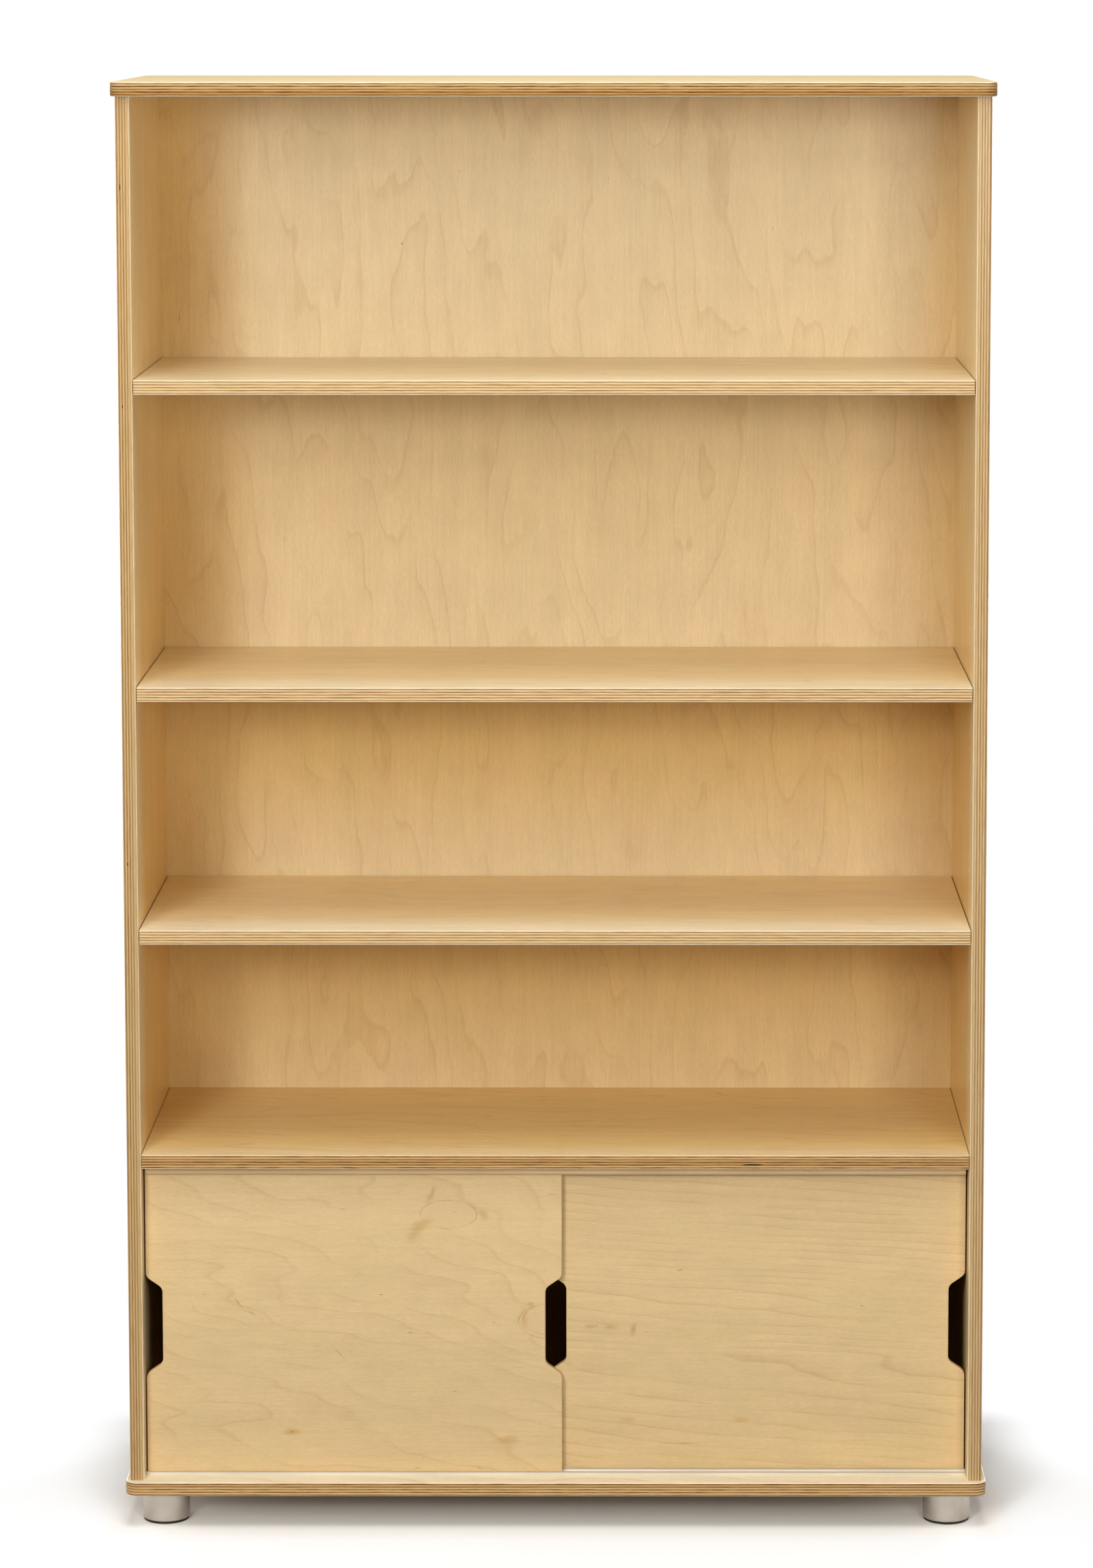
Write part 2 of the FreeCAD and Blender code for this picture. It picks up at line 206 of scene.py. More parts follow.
class Birch(Finish):
    """Satin-lacquered birch plywood as a solid: veneer on its faces, and layered plies along its edges.

    u runs along the face grain, v across it and t through the sheet, in millimetres from its middle.
    """

    def __init__(self, node, grain, through, seed, plies=11, coat=0.8):
        super().__init__(f"{node}_birch", Coat_Weight=coat, **LACQUER)
        low, high = (np.array(corner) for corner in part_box(node))
        self.thickness = float(high[through] - low[through]) * MM
        self.grain = grain
        self.seed = float(seed)
        self.plies = plies
        axes = self.axes(self.in_mm(((low + high) / 2).tolist()))
        self.u, self.v, self.t = axes[grain], axes[X + Y + Z - grain - through], axes[through]
        self.layer = self.maths("MULTIPLY_ADD", self.maths("SIGN", self.t), FACE_TO_FACE, self.seed)

    def spread(self, along_mm, across_mm):
        """The place on the sheet, counted in cells of the given length and width."""
        along = self.maths("DIVIDE", self.u, along_mm)
        return self.triple(along, self.maths("DIVIDE", self.v, across_mm), self.layer)

    def veneer(self, tilt, wave, folds=(), tone=1.0, pale_and_lit=0.0, figure=1.0):
        """The face of a rotary-cut veneer; its growth rings are the contour lines of a gentle landscape.

        The landscape is a slope, noise stretched along the grain, and folds: ridges along the grain that
        fall off on both sides as height / (1 + distance / half_width). The wood darkens slowly over each
        ring, and fast near its end. tone makes the whole lighter, and figure is how strongly its rings
        show. The argument after tone blends the wood toward a paler colour. Where that changes over the
        sheet, it is painted light that follows where the light falls most. Where it is even, as on the
        doors and the outer faces of the sides, it is a paler tone of the wood.
        """
        landscape = self.maths("MULTIPLY_ADD", self.u, tilt[0], self.maths("MULTIPLY", self.v, tilt[1]))
        landscape = self.maths("MULTIPLY_ADD", self.noise(self.spread(*RIPPLE_MM)), 0.5, landscape)
        rolling = self.noise(self.spread(*ROLLING_MM), 2.0, 0.4, 0.2)
        landscape = self.maths("MULTIPLY_ADD", rolling, wave, landscape)
        for over, half_width, height in folds:
            off = self.maths("SUBTRACT", self.v, over)
            off = self.maths("SQRT", self.maths("MULTIPLY_ADD", off, off, FOLD_CREST_MM**2))
            fall = self.maths("ADD", self.maths("DIVIDE", off, half_width), 1.0)
            landscape = self.maths("ADD", landscape, self.maths("DIVIDE", height, fall))

        ring = self.maths("FRACT", landscape)
        slow = self.maths("MULTIPLY", self.ease(ring, 0.2, 0.93), RING_SLOW_SHARE)
        line = self.maths("MULTIPLY_ADD", self.ease(ring, 0.8, RING_END), 1.0 - RING_SLOW_SHARE, slow)
        line = self.maths("MULTIPLY", line, self.ease(ring, RING_END, 1.0, 1.0, 0.0))
        shown = self.noise(self.spread(*SHOWN_MM), 1.0)
        line = self.maths("MULTIPLY", line, self.ease(shown, 0.33, 0.6, 0.05 * figure, 0.24 * figure))

        self.fibre = self.noise(self.spread(*FIBRE_MM), 2.0, 0.6)
        shade = self.clouds(self.fibre, tone * 0.955, tone * 1.035)
        for along_mm, across_mm, depth in CLOUDS_MM:
            cloud = self.noise(self.spread(along_mm, across_mm))
            shade = self.maths("MULTIPLY", shade, self.clouds(cloud, 1.0 - depth, 1.0 + depth))

        hue = self.clouds(self.noise(self.spread(*HUE_MM), 3.0))
        pore = self.ease(self.noise(self.spread(*PORE_MM), 1.0), 0.7, 0.82, 0.0, 0.2)
        face = self.blend(hue, VENEER_YELLOW, VENEER_PINK)
        # Painted light where the paling changes over the sheet, and an even paler tone elsewhere.
        face = self.blend(pale_and_lit, face, VENEER_PALE_AND_LIT)
        face = self.blend(line, face, RING)
        face = self.blend(pore, face, RING)
        self.face = self.scaled(face, shade)

    def oval(self, along, over, half_length, half_width, turn=0.0):
        """How far a place lies from an oval's middle: 1 all along its rim; turn is in degrees."""
        away = self.vector("SUBTRACT", self.triple(self.u, self.v, 0.0), (along, over, 0.0))
        if turn:
            turned = ((0, away), ("Angle", -math.radians(turn)))
            away = self.node("VectorRotate", turned, rotation_type="Z_AXIS").outputs[0]
        return self.vector("LENGTH", self.vector("DIVIDE", away, (half_length, half_width, 1.0)))

    def stain(self, colour, rows):
        """Ragged soft spots; each row is along, over, half_length, half_width, turn and strength."""
        ragged = self.ease(self.noise(self.spread(*RAGGED_MM)), 0.25, 0.75, 0.8, 1.3)
        for *oval, strength in rows:
            reach = self.maths("MULTIPLY", self.oval(*oval), ragged)
            self.face = self.blend(self.ease(reach, 0.0, 1.05, strength, 0.0), self.face, colour)

    def plug(self, along, over, half_length, half_width):
        """An oval of plain wood let into the veneer where a knot was cut out, with a thin dark joint."""
        reach = self.oval(along, over, half_length, half_width)
        plain = self.scaled(PLUG_WOOD, self.clouds(self.fibre, 0.93, 0.99))
        self.face = self.blend(self.ease(reach, 0.97, 1.0, 0.8, 0.0), self.face, plain)
        joint = self.maths("ABSOLUTE", self.maths("SUBTRACT", reach, 1.0))
        joint = self.ease(joint, 0.0, PLUG_JOINT_MM / half_width, 1.0, 0.0)
        shown = self.ease(self.noise(self.spread(*JOINT_MM), 1.0), 0.35, 0.65, 0.08, 0.4)
        self.face = self.blend(self.maths("MULTIPLY", joint, shown), self.face, BARK)

    def done(self, depth=0.5, tone=(1.0, 1.0, 1.0), gaps=(), fade=1.0):
        """Adds the plies along the edges, and hands over the material.

        The plies take turns: one with its grain along the edge is pale, and one cut end-on is brown and
        streaked. depth is how dark the brown ones are, fade is how much of them is left from place to
        place, and tone colours the whole edge. Each gap in a ply is a hollow, painted as a near-black
        slot of painted shade, and is given by its place along the grain and through the sheet, its half
        length and its half height.
        """
        along = self.maths("ADD", self.u, self.v)

        def edge_noise(along_mm, through_mm, number, detail=2.0, roughness=0.6):
            """Noise in cells of the given length and height, different for each number."""
            up = self.maths("DIVIDE", self.t, through_mm)
            place = self.triple(self.maths("DIVIDE", along, along_mm), up, number)
            return self.noise(place, detail, roughness)

        ply_mm = self.thickness / (self.plies - SANDED_OFF)
        outer = (self.plies - 1) / 2
        waver = self.maths("MULTIPLY_ADD", edge_noise(28.0, 5.0, self.seed, 3.0, 0.5), 0.5, 0.25)
        count = self.maths("ADD", self.maths("DIVIDE", self.t, ply_mm), waver)
        ply = self.maths("FLOOR", count)
        is_face = self.ease(self.maths("ABSOLUTE", ply), outer - 0.6, outer - 0.4)
        is_cross = self.maths("PINGPONG", self.maths("ADD", ply, outer), 1.0)
        turned = self.ease(self.maths("ABSOLUTE", self.axes(self.facing)[self.grain]), 0.75, 0.98)
        is_brown = self.maths("ABSOLUTE", self.maths("SUBTRACT", is_cross, turned))
        own = self.maths("MULTIPLY_ADD", ply, PLY_TO_PLY, self.seed)

        seam = self.maths("ABSOLUTE", self.maths("SUBTRACT", self.maths("FRACT", count), 0.5))
        ragged = self.maths("MULTIPLY_ADD", edge_noise(3.5, 0.45, own, 3.0), 0.4, seam)
        heart = self.ease(ragged, 0.36, 0.66, 1.0, 0.25)
        one_ply = self.ease(self.noise(self.triple(0.0, 0.0, own)), 0.38, 0.58, 0.4, 1.1)
        heart = self.maths("MULTIPLY", self.maths("MULTIPLY", heart, one_ply), fade)
        dark = self.ease(edge_noise(32.0, 3.0, own, 3.0), 0.4, 0.62, 0.12, 1.0)
        dark = self.maths("MULTIPLY", self.maths("MULTIPLY", dark, heart), depth)
        cross = self.blend(dark, PLY_CROSS_LIGHT, PLY_CROSS_DARK)
        fleck = self.ease(edge_noise(1.3, 0.4, own), 0.5, 0.75, 0.0, 0.35 * depth)
        cross = self.blend(fleck, cross, GLUE)
        streak = self.ease(edge_noise(26.0, 0.4, own), 0.35, 0.7)
        long = self.blend(streak, PLY_LONG_LIGHT, PLY_LONG_DARK)
        plied = self.blend(self.maths("MULTIPLY", is_brown, fade), long, cross)

        glue = self.ease(edge_noise(19.0, 3.0, own), 0.46, 0.66, 0.0, depth)
        glue = self.maths("MULTIPLY", self.ease(seam, 0.42, 0.5), glue)
        plied = self.blend(glue, plied, GLUE)
        for place, through, half_length, half_height in gaps:
            away = self.vector("SUBTRACT", self.triple(self.u, self.t, 0.0), (place, through, 0.0))
            slot = self.vector("LENGTH", self.vector("DIVIDE", away, (half_length, half_height, 1.0)))
            plied = self.blend(self.ease(slot, 0.6, 1.0, 1.0, 0.0), plied, VOID_SHADE)
        plied = self.vector("MULTIPLY", plied, tone)

        sunk = self.maths("MULTIPLY_ADD", glue, 0.5, self.maths("MULTIPLY", self.fibre, 0.5))
        return self.shaded(
            Base_Color=self.blend(is_face, plied, self.face),
            Roughness=self.ease(self.fibre, 0.0, 1.0, 0.4, 0.5),
            Normal=self.bump(self.maths("SUBTRACT", 1.0, sunk), 0.01),
        )


def dress(node, finish):
    """Gives a carried-over part its finish."""
    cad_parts[node].material_slots[0].material = finish


BASE_EDGE_UPPER = (0.78, 0.7, 0.62)
BASE_EDGE_LOWER = (0.93, 0.87, 0.78)

# Painted light: the strip in front of the doors, where light falls on it, is painted paler.
base = Birch("base_panel", X, Z, 11)
lit_strip_paling = base.ease(base.v, -155.0, -140.0, 1.0, 0.0)
base.veneer(tilt=(0.004, 0.03), wave=5.0, pale_and_lit=lit_strip_paling)
edge = base.blend(base.ease(base.t, 1.5, 3.5), BASE_EDGE_LOWER, BASE_EDGE_UPPER)
dress("base_panel", base.done(0.95, edge))


# ---------------------------------------------------------------------------------------------------
# Side panels: two upright 15 mm sheets with upright grain, their long arrises well rounded.
# A row of 5 mm holes is drilled inside each, front and back, for the shelf pins.

MID_SHEET = (-1.0, 1.0)
NEAR_FRONT = (-174.0, -90.0)
OUTER_BLEACH = 0.25
OUTER_TINT = (1.03, 0.985, 0.97)
LEFT_GAPS = ((636.0, -2.8, 4.5, 0.6), (410.0, -2.8, 2.2, 0.6), (-68.5, -2.8, 2.5, 0.6))


def side_panel(name, seed, inward, painted_light_at_top, inner_painted_light, tone, fade, gaps=()):
    """Dresses a side panel; inward is 1 where the inside lies toward +X, and -1 where it lies toward -X.

    The inner face is painted paler toward its top and its front edge, and lighter still by a set
    factor: painted light. Both faces are painted a little lighter near the front edge, also painted
    light. fade gives the stretch through the sheet where the brown plies fade, and what is left of them
    on either side.
    """
    side = Birch(name, Z, X, seed)
    inner = side.maths("MULTIPLY", side.t, inward)
    # Painted light: the inner face is painted paler toward its top and its front edge; the outer face
    # gets only an even paler tone.
    pale_and_lit = side.ease(side.u, -50.0, 450.0, 0.0, painted_light_at_top)
    pale_and_lit = side.maths("MAXIMUM", pale_and_lit, side.ease(side.v, *NEAR_FRONT, 0.7, 0.0))
    outer_bleach = side.ease(inner, *MID_SHEET, OUTER_BLEACH, 0.0)
    pale_and_lit = side.maths("MULTIPLY_ADD", pale_and_lit, side.ease(inner, *MID_SHEET), outer_bleach)
    side.veneer(tilt=(0.003, 0.03), wave=5.0, pale_and_lit=pale_and_lit, figure=0.4)
    # Painted light: both faces are painted lighter near the front edge, and the inner face lighter still
    # by a set factor.
    side.face = side.scaled(side.face, side.ease(side.v, *NEAR_FRONT, 1.08, 1.0))
    side.face = side.scaled(side.face, side.ease(inner, *MID_SHEET, 1.0, inner_painted_light))
    warm = side.vector("MULTIPLY", side.face, OUTER_TINT)
    side.face = side.blend(side.ease(inner, *MID_SHEET, 1.0, 0.0), side.face, warm)
    # Painted shade: the rounding at the front of the outer face is painted ring-brown.
    arris = side.ease(side.v, -174.0, -169.0, 1.0, 0.0)
    arris = side.maths("MULTIPLY", side.ease(inner, -7.4, -5.5, 0.8, 0.0), arris)
    side.face = side.blend(arris, side.face, RING)
    dress(name, side.done(0.32, tone, gaps, side.ease(side.t, *fade)))


side_panel("left_side_panel", 23, 1.0, 0.4, 1.15, (0.78, 0.74, 0.69), (3.0, 3.7, 1.0, 0.2), LEFT_GAPS)
side_panel("right_side_panel", 37, -1.0, 0.6, 1.07, (0.84, 0.83, 0.86), (-5.7, -5.0, 0.3, 1.0))


# ---------------------------------------------------------------------------------------------------
# Back panel: one upright sheet of 9 mm plywood of seven plies, held in grooves all round. Its front
# face is painted paler where light falls most, in the upper bays and away from the shaded sides:
# painted light.

# Each bay's sheet below and sheet above, and how much painted light pales it at its foot and higher up.
BACK_BAYS = (
    (437.0, 729.0, 0.6, 0.7),
    (117.0, 422.0, 0.55, 0.42),
    (-139.0, 102.0, 0.5, 0.0),
    (-378.0, -154.0, 0.35, 0.0),
)

# Short dark pores and one pin knot, as rows for stain.
BACK_DASHES = (
    (641.1, -107.3, 3.0, 0.6, 0.0, 0.5),
    (653.2, -28.1, 3.0, 0.6, 0.0, 0.4),
    (627.4, -22.0, 3.0, 0.6, 0.0, 0.4),
    (547.4, -22.8, 3.0, 0.6, 0.0, 0.4),
    (659.3, 62.5, 3.0, 0.6, 0.0, 0.4),
    (632.7, 54.9, 3.0, 0.6, 0.0, 0.5),
    (609.9, 36.6, 3.0, 0.6, 0.0, 0.4),
    (577.9, 233.8, 3.5, 0.7, 0.0, 0.5),
    (561.9, -171.2, 2.0, 1.6, 0.0, 0.8),
    (480.5, -415.5, 9.0, 0.8, 4.0, 0.5),
)

back = Birch("back_panel", Z, Y, 41, plies=7)
pale_and_lit = 0.0
for below, above, at_foot, higher_up in BACK_BAYS:
    bay = back.ease(back.u, below, 0.3 * below + 0.7 * above, at_foot, higher_up)
    bay = back.maths("MULTIPLY", bay, back.ease(back.u, below - 8.0, below - 2.0))
    bay = back.maths("MULTIPLY", bay, back.ease(back.u, above + 2.0, above + 8.0, 1.0, 0.0))
    pale_and_lit = back.maths("ADD", bay, pale_and_lit)
# Painted shade: the paling fades out near the sides, which shade the back, and stays on the front face.
open_to_light = back.ease(back.v, -440.0, -310.0)
open_to_light = back.maths("MULTIPLY", open_to_light, back.ease(back.v, 370.0, 490.0, 1.0, 0.0))
open_to_light = back.maths("MULTIPLY", open_to_light, back.ease(back.t, *MID_SHEET, 1.0, 0.0))
pale_and_lit = back.maths("MULTIPLY", pale_and_lit, open_to_light)
back.veneer(tilt=(0.004, 0.016), wave=6.0, pale_and_lit=pale_and_lit, figure=0.8)
back.stain(BARK, BACK_DASHES)
dress("back_panel", back.done())


# ---------------------------------------------------------------------------------------------------
# Cabinet deck: a fixed sheet on dowels between the sides, over the doors. Its edges are darkest along
# their middle, and one of the plies in the front edge has a gap.

DECK_GAP = (207.0, -2.5, 14.0, 0.9)
DECK_EDGE_MIDDLE = (0.7, 0.58, 0.44)
DECK_EDGE = (0.86, 0.76, 0.65)

deck = Birch("cabinet_deck", X, Z, 53)
# Painted light: the deck is painted paler toward its front, where light falls on it.
deck.veneer(tilt=(0.003, 0.03), wave=5.0, pale_and_lit=deck.ease(deck.v, -190.0, -90.0, 0.65, 0.0))
off_middle = deck.maths("ABSOLUTE", deck.maths("ADD", deck.t, 0.75))
edge = deck.blend(deck.ease(off_middle, 1.5, 4.0), DECK_EDGE_MIDDLE, DECK_EDGE)
dress("cabinet_deck", deck.done(0.9, edge, (DECK_GAP,)))


# ---------------------------------------------------------------------------------------------------
# Top panel: the same sheet as the base, with the same rounded corners and arrises. Its lacquer is
# rubbed nearly matt. Its front arris is painted the palest wood of all, a painted highlight, and its
# edges are painted darker toward the underside, as painted shade.

TOP_EDGE_UPPER = (0.76, 0.71, 0.64)
TOP_EDGE_LOWER = (0.6, 0.47, 0.33)

top = Birch("top_panel", X, Z, 67, coat=0.1)
# Painted highlight: the front arris is painted palest.
arris_highlight = top.ease(top.v, -181.0, -176.5, 1.0, 0.4)
top.veneer(tilt=(0.003, 0.02), wave=5.0, tone=1.05, pale_and_lit=arris_highlight, figure=0.4)
# Painted shade: the edge is painted darker toward the underside.
edge = top.blend(top.ease(top.t, -3.0, 1.0), TOP_EDGE_LOWER, TOP_EDGE_UPPER)
dress("top_panel", top.done(0.8, edge))


# ---------------------------------------------------------------------------------------------------
# Door tracks: two off-white extrusions of rigid plastic with twin grooves, one bonded under the deck and
# one on the base. The doors slide in them on their own edges.

DIE_LINE = paint(196, 182, 156)
# A painted shade line along each track's lip, where a door meets it.
LIP_SHADE = paint(150, 126, 96)
UPPER_LIP_SHADE_MM = (377.5, 376.0)
LOWER_LIP_SHADE_MM = (52.3, 53.1)


def track_plastic(name, seed, light, dark, shade_mm):
    """Matt extruded plastic: faint die lines run its whole length, and a painted shade line lies along
    its lips.
    """
    plastic = Finish(name, Roughness=0.45, IOR=1.5)
    place = plastic.in_mm()
    lines = plastic.cells(place, (400.0, 0.35, 0.35))
    patch = plastic.vector("DIVIDE", place, (90.0, 30.0, 30.0))
    patch = plastic.noise(plastic.vector("ADD", patch, (seed, seed, seed)))
    colour = plastic.blend(plastic.clouds(patch), light, dark)
    colour = plastic.blend(plastic.ease(lines, 0.4, 0.7, 0.0, 0.25), colour, DIE_LINE)
    colour = plastic.blend(plastic.ease(plastic.axes(place)[Z], *shade_mm, 0.0, 0.6), colour, LIP_SHADE)
    return plastic.shaded(Base_Color=colour, Normal=plastic.bump(lines, 0.02))


# Painted shade: the upper track, in the shade under the deck, is given a warmer ivory than the lower
# one.
upper_ivory_in_shade = (paint(240, 206, 153), paint(228, 192, 137))
lower_ivory = (paint(232, 225, 208), paint(220, 211, 192))
dress("upper_door_track", track_plastic("upper_track_plastic", 3.0, *upper_ivory_in_shade, UPPER_LIP_SHADE_MM))
dress("lower_door_track", track_plastic("lower_track_plastic", 8.0, *lower_ivory, LOWER_LIP_SHADE_MM))


# ---------------------------------------------------------------------------------------------------
# Shelves: three loose 15 mm sheets, each let down over four steel pins that end up in grooves in its
# ends. They are painted paler toward the front, where light falls most: painted light.

SHELF_EDGE = (1.02, 1.04, 1.12)


def loose_shelf(name, seed, tone, painted_light_at_back):
    """Dresses a shelf, painted paler at its front than at its back, where less light falls: painted
    light.
    """
    shelf = Birch(name, X, Z, seed)
    # Painted light: the shelf is painted paler at its front, where light falls most.
    pale_and_lit = shelf.ease(shelf.v, -160.0, -60.0, 0.95, painted_light_at_back)
    shelf.veneer(tilt=(0.003, 0.03), wave=5.0, tone=tone, pale_and_lit=pale_and_lit, figure=0.5)
    dress(name, shelf.done(0.52, SHELF_EDGE))


loose_shelf("lower_shelf", 71, 1.1, 0.35)
loose_shelf("middle_shelf", 83, 1.03, 0.35)
loose_shelf("upper_shelf", 97, 1.02, 0.6)


# ---------------------------------------------------------------------------------------------------
# Doors: two plain 9 mm sheets of seven plies with a finger cut-out in each upright edge. The veneer is
# painted a little lighter toward the top and darker toward the foot, as painted light against the shade
# under the deck, with plugs, resin marks and short dark pores, as rows for stain.

RESIN = paint(202, 156, 88)
DOOR_TINT = (1.005, 0.98, 0.985)
DOOR_TONE = 0.985
LEFT_DOOR_PLUGS = (
    (100.3, 116.0, 30.0, 15.3),
    (206.0, 0.5, 32.0, 18.5),
    (206.0, 2.5, 27.0, 16.2),
)
LEFT_DOOR_RESIN = (
    (71.0, 104.5, 21.0, 8.0, 24.0, 0.5),
    (64.0, 94.0, 13.0, 9.0, 50.0, 0.4),
    (81.0, 134.0, 11.0, 5.5, 62.0, 0.45),
    (84.0, 141.0, 12.0, 3.0, 80.0, 0.4),
    (137.0, 116.0, 12.0, 6.0, -48.0, 0.5),
    (-66.3, -119.9, 13.0, 5.0, 0.0, 0.75),
    (162.7, -128.2, 17.0, 7.0, 0.0, 0.55),
    (187.5, 18.8, 6.0, 4.0, 0.0, 0.7),
    (180.0, 4.0, 6.0, 20.0, 0.0, 0.35),
)
LEFT_DOOR_DASHES = (
    (-66.3, -119.9, 1.4, 1.0, 0.0, 0.8),
    (-122.0, 20.0, 13.5, 0.7, -52.0, 0.7),
    (-108.0, 9.0, 7.0, 0.7, -27.0, 0.7),
    (-16.0, -34.0, 12.0, 0.7, -46.0, 0.5),
    (28.4, 29.3, 4.0, 0.7, -4.0, 0.8),
    (59.4, -11.9, 4.5, 0.7, -6.0, 0.7),
    (106.4, -75.5, 4.0, 0.7, 8.0, 0.6),
    (-11.4, 121.7, 4.0, 0.6, 0.0, 0.5),
    (209.7, 137.6, 8.0, 0.6, 4.0, 0.5),
    (66.7, -159.3, 6.0, 0.7, 20.0, 0.5),
    (132.4, -159.3, 6.0, 0.7, -25.0, 0.5),
    (-158.0, 29.3, 3.0, 0.5, 0.0, 0.5),
    (-64.1, -9.0, 2.5, 0.5, 0.0, 0.5),
    (148.3, -1.1, 2.5, 0.6, 0.0, 0.6),
    (106.0, 119.0, 1.6, 0.7, 0.0, 0.7),
)
RIGHT_DOOR_FOLDS = ((34.0, 60.0, 4.0), (-38.0, 30.0, 4.0))
RIGHT_DOOR_RESIN = (
    (-176.5, -8.2, 10.0, 4.0, 0.0, 0.55),
    (-155.5, -8.2, 11.0, 5.0, 0.0, 0.55),
    (-131.5, -11.0, 4.5, 10.0, -12.0, 0.8),
    (-16.2, -110.1, 13.0, 5.0, 0.0, 0.45),
    (-137.1, -110.1, 13.0, 5.0, 0.0, 0.45),
)
RIGHT_DOOR_DASHES = (
    (-170.0, -7.0, 1.2, 0.9, 0.0, 0.5),
    (-158.0, -9.0, 1.5, 1.0, 0.0, 0.5),
    (-118.0, -14.0, 2.2, 0.8, 8.0, 0.5),
    (-82.1, 52.8, 3.6, 0.6, 15.0, 0.8),
    (110.5, 14.4, 3.5, 0.8, -20.0, 0.4),
    (76.4, 33.2, 2.0, 0.8, -45.0, 0.4),
    (-77.1, -135.4, 19.0, 0.8, 0.0, 0.4),
)


def hang_door(name, door, resin, dashes):
    """Adds a door's tint, painted light that grows toward the top, and its marks, and dresses it."""
    tinted = door.vector("MULTIPLY", door.face, DOOR_TINT)
    # Painted light: the face is painted lighter toward the top and darker toward the foot.
    door.face = door.scaled(tinted, door.ease(door.v, -165.0, 165.0, 0.95, 1.06))
    door.stain(RESIN, resin)
    door.stain(BARK, dashes)
    dress(name, door.done())


left_door = Birch("left_door", X, Y, 101, plies=7)
left_door.veneer(tilt=(0.014, 0.036), wave=6.0, tone=DOOR_TONE, pale_and_lit=0.27, figure=0.75)
for plug in LEFT_DOOR_PLUGS:
    left_door.plug(*plug)
hang_door("left_door", left_door, LEFT_DOOR_RESIN, LEFT_DOOR_DASHES)

right_door = Birch("right_door", X, Y, 113, plies=7)
right_door.veneer((-0.007, -0.085), 1.8, RIGHT_DOOR_FOLDS, tone=DOOR_TONE, pale_and_lit=0.26, figure=1.05)
hang_door("right_door", right_door, RIGHT_DOOR_RESIN, RIGHT_DOOR_DASHES)


# ---------------------------------------------------------------------------------------------------
# Feet: four turned aluminium cups with a satin face. Each is held by a screw into a threaded insert in
# the base panel.

CORNERS = ("front_left", "front_right", "rear_left", "rear_right")
FOOT_LIGHT = paint(186, 177, 165)
FOOT_DARK = paint(172, 164, 153)


def satin_metal(name, light, dark, roughness, middle=(0.0, 0.0, 0.0)):
    """Turned metal: fine rings of tool marks round an upright axis, and soft clouds of handling."""
    metal = Finish(name, Metallic=1.0)
    place = metal.in_mm(middle)
    rings = metal.cells(place, (60.0, 60.0, 0.25))
    handling = metal.cells(place, (14.0, 14.0, 14.0), 3.0)
    colour = metal.blend(metal.clouds(handling, 0.0, 0.6), light, dark)
    colour = metal.blend(metal.ease(rings, 0.4, 0.75, 0.0, 0.12), colour, dark)
    dull = metal.ease(rings, 0.2, 0.8, roughness - 0.04, roughness + 0.08)
    return metal.shaded(Base_Color=colour, Roughness=dull, Normal=metal.bump(rings, 0.004))


for corner in CORNERS:
    low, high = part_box(f"{corner}_foot")
    middle = ((low[X] + high[X]) / 2, (low[Y] + high[Y]) / 2, 0.0)
    dress(f"{corner}_foot", satin_metal(f"{corner}_foot_satin", FOOT_LIGHT, FOOT_DARK, 0.42, middle))


# ---------------------------------------------------------------------------------------------------
# Foot pads: four discs of black moulded rubber, pressed into the feet to keep the metal off the floor.
# All four share one finish.


def rubber():
    """Black moulded rubber with a fine dull grain and a little dust."""
    black = Finish("pad_black_rubber", Roughness=0.75)
    place = black.in_mm()
    dust = black.ease(black.cells(place, (9.0, 9.0, 3.0), 3.0), 0.45, 0.75, 0.0, 0.5)
    colour = black.blend(dust, paint(16, 15, 14), paint(36, 34, 31))
    grain = black.cells(place, (0.8, 0.8, 0.8))
    return black.shaded(Base_Color=colour, Normal=black.bump(grain, 0.03))


pad_rubber = rubber()
for corner in CORNERS:
    dress(f"{corner}_foot_pad", pad_rubber)


# ---------------------------------------------------------------------------------------------------
# Hidden hardware: zinc-plated shelf pins and foot screws, turned brass inserts, and beech dowels that
# are glued in.


def beech():
    """Steamed beech: pinkish brown, with short dark rays along the dowel."""
    dowel = Finish("dowel_steamed_beech", Roughness=0.6)
    rays = dowel.cells(dowel.in_mm(), (1.2, 1.2, 1.2), 3.0)
    colour = dowel.blend(dowel.ease(rays, 0.4, 0.7), paint(214, 170, 128), paint(176, 126, 86))
    return dowel.shaded(Base_Color=colour, Normal=dowel.bump(rays, 0.05))


zinc = satin_metal("zinc_plate", paint(196, 199, 203), paint(160, 162, 164), 0.3)
for level in ("lower", "middle", "upper"):
    dress(f"{level}_shelf_pins", zinc)
dress("foot_screws", zinc)
dress("foot_inserts", satin_metal("insert_brass_turned", paint(214, 176, 98), paint(178, 138, 66), 0.3))

dowel_beech = beech()
for joint in ("base", "top", "deck"):
    dress(f"{joint}_dowels", dowel_beech)


# ---------------------------------------------------------------------------------------------------
# Floor: a pale studio floor that turns into the white background away from the bookcase, and keeps the
# bookcase's shadow near it.

WHITE = (1.0, 1.0, 1.0)
FLOOR_HALF = 12.0
FLOOR_CLEARANCE = 0.0002
SHADOW_REACH = (0.01, 0.25)
SHADOW_SHORTER_BEHIND = 3.0
# Painted shade: the floor is painted warm under the bookcase, for the light that the wood bounces into
# its shadow, and a little cool around it, against that warm light.
WARM_SHADE_UNDERNEATH = (1.0, 0.965, 0.92)
COOL_AROUND = (0.97, 1.0, 1.04)
FLOOR_SEEN = 1.09
FLOOR_BOUNCE = 0.33

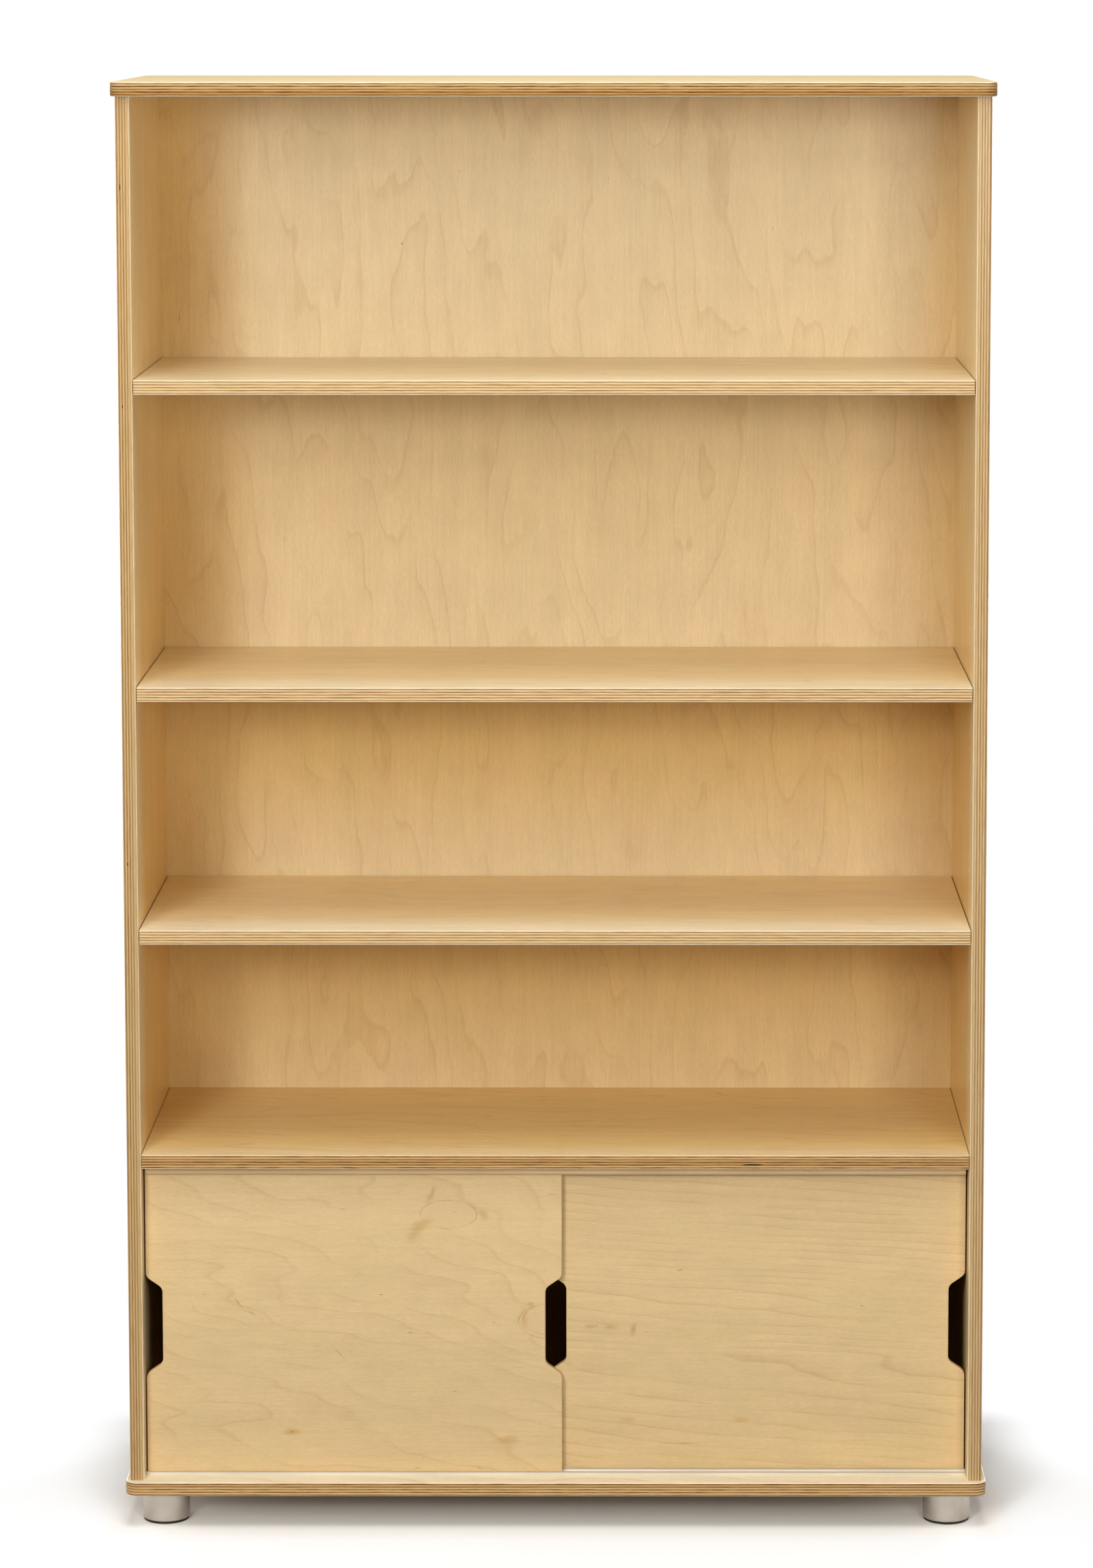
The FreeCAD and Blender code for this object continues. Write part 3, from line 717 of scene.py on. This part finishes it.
floor_mesh = bpy.data.meshes.new("studio_floor")
ends = np.array([-FLOOR_HALF, FLOOR_HALF])
grid_x, grid_y = np.meshgrid(ends, ends)
corners = np.stack([grid_x.ravel(), grid_y.ravel(), np.full(4, -FLOOR_CLEARANCE)], axis=1)
floor_mesh.from_pydata(corners.tolist(), [], [(0, 1, 3, 2)])
floor = bpy.data.objects.new("studio_floor", floor_mesh)
bpy.context.scene.collection.objects.link(floor)


def seen_directly(nodes):
    """1 for a ray from the camera, a mirror or clear glass, and 0 for a ray that carries soft light."""
    path = nodes.node("LightPath").outputs
    seen = nodes.maths("MAXIMUM", path["Is Camera Ray"], path["Is Glossy Ray"])
    return nodes.maths("MAXIMUM", seen, path["Is Transmission Ray"])


# away is the distance from the bookcase's outline on the floor, stretched behind it.
ground = Finish("studio_floor_white", Roughness=1.0, Specular_IOR_Level=0.0)
half_size = (np.array(cad_box[1]) - np.array(cad_box[0])) / 2
away = ground.vector("ABSOLUTE", ground.vector("MULTIPLY", ground.spot, (1.0, 1.0, 0.0)))
away = ground.vector("MAXIMUM", ground.vector("SUBTRACT", away, half_size.tolist()), (0.0, 0.0, 0.0))
behind = ground.ease(ground.axes(ground.spot)[Y], -0.1, 0.15, 1.0, SHADOW_SHORTER_BEHIND)
away = ground.maths("MULTIPLY", ground.vector("LENGTH", away), behind)
seen = seen_directly(ground)
tone = ground.maths("ADD", FLOOR_BOUNCE, ground.maths("MULTIPLY", seen, FLOOR_SEEN - FLOOR_BOUNCE))
# Painted shade: warm under the bookcase, cool around it.
tint = ground.blend(ground.ease(away, 0.0, 0.04), WARM_SHADE_UNDERNEATH, COOL_AROUND)
ground.shaded(Base_Color=ground.vector("MULTIPLY", ground.triple(tone, tone, tone), tint))
glow = ground.node("Emission", (("Color", WHITE), ("Strength", 1.0))).outputs[0]
background = ground.maths("MULTIPLY", ground.ease(away, *SHADOW_REACH), seen)
mixed = ground.node("MixShader", enumerate((background, ground.shader.outputs[0], glow)))
ground.feed(ground.tree.nodes["Material Output"].inputs["Surface"], mixed.outputs[0])
floor_mesh.materials.append(ground.material)


# ---------------------------------------------------------------------------------------------------
# Studio light: five soft boxes in front, three overhead for the tops and the shelves' front edges, one
# low on each side and two behind, and a little light from the white room all round.

ROOM_LIGHT = 0.02
MIDDLE = (0.0, 0.0, 0.8)
BACK_MIDDLE = (0.0, 0.2, 0.8)
SHELF_FRONTS = (0.0, -0.3, 0.8)

world = bpy.data.worlds.new("studio_room")
world.use_nodes = True
bpy.context.scene.world = world
room = Nodes(world.node_tree)
sky = room.tree.nodes["Background"]
room.feed(sky.inputs["Color"], WHITE)
strength = room.maths("MULTIPLY_ADD", seen_directly(room), 1.0 - ROOM_LIGHT, ROOM_LIGHT)
room.feed(sky.inputs["Strength"], strength)


def soft_box(name, place, size, watts, target=MIDDLE, spread=180.0):
    """A square soft box that faces a point; spread is the angle that its grid lets through."""
    light = bpy.data.lights.new(name, "AREA")
    light.size = size
    light.energy = watts
    light.spread = math.radians(spread)
    lamp = bpy.data.objects.new(name, light)
    away = np.array(target) - np.array(place)
    tilt = math.acos(-away[Z] / np.linalg.norm(away))
    lamp.location = place
    lamp.rotation_euler = (tilt, 0.0, math.atan2(-away[X], away[Y]))
    bpy.context.scene.collection.objects.link(lamp)


soft_box("left_key_box", (-1.5, -4.3, 1.8), size=0.5, watts=25.0)
soft_box("right_key_box", (1.5, -4.3, 1.4), size=0.5, watts=11.5)
soft_box("left_fill_box", (-1.2, -4.3, 2.2), size=1.0, watts=35.5)
soft_box("right_fill_box", (1.2, -4.3, 1.7), size=1.0, watts=34.5)
soft_box("high_left_box", (-1.5, -3.8, 3.0), size=1.2, watts=37.0)
soft_box("overhead_front_box", (0.0, -2.0, 3.6), size=1.6, watts=26.5)
soft_box("overhead_grid_box", (0.0, -1.1, 3.8), size=1.4, watts=9.0, target=SHELF_FRONTS, spread=90.0)
soft_box("overhead_box", (0.0, -0.2, 3.8), size=1.4, watts=17.5)
soft_box("left_side_box", (-3.2, 0.9, 0.75), size=1.4, watts=26.0, target=(-0.45, 0.0, 0.75))
soft_box("right_side_box", (3.2, 0.9, 0.75), size=1.4, watts=26.0, target=(0.45, 0.0, 0.75))
soft_box("rear_left_box", (-2.2, 3.2, 1.0), size=1.6, watts=52.0, target=BACK_MIDDLE)
soft_box("rear_right_box", (2.2, 3.2, 1.0), size=1.6, watts=52.0, target=BACK_MIDDLE)


# ---------------------------------------------------------------------------------------------------
# Camera: in front and a little above the top, with the frame shifted down so that the uprights stay
# near parallel.

CAMERA_PLACE = (0.084, -5.118, 1.618)
CAMERA_DOWN = 6.275
CAMERA_TURN = 0.126
LENS_MM = 110.46
SENSOR_MM = 36.0
SHIFT = (-0.05, -0.17)

camera_data = bpy.data.cameras.new("camera")
camera_data.lens = LENS_MM
camera_data.sensor_width = SENSOR_MM
camera_data.shift_x, camera_data.shift_y = SHIFT
camera = bpy.data.objects.new("camera", camera_data)
camera.location = CAMERA_PLACE
camera.rotation_euler = (math.radians(90.0 - CAMERA_DOWN), 0.0, math.radians(CAMERA_TURN))
bpy.context.scene.collection.objects.link(camera)
bpy.context.scene.camera = camera
bpy.context.scene.view_settings.view_transform = "Standard"
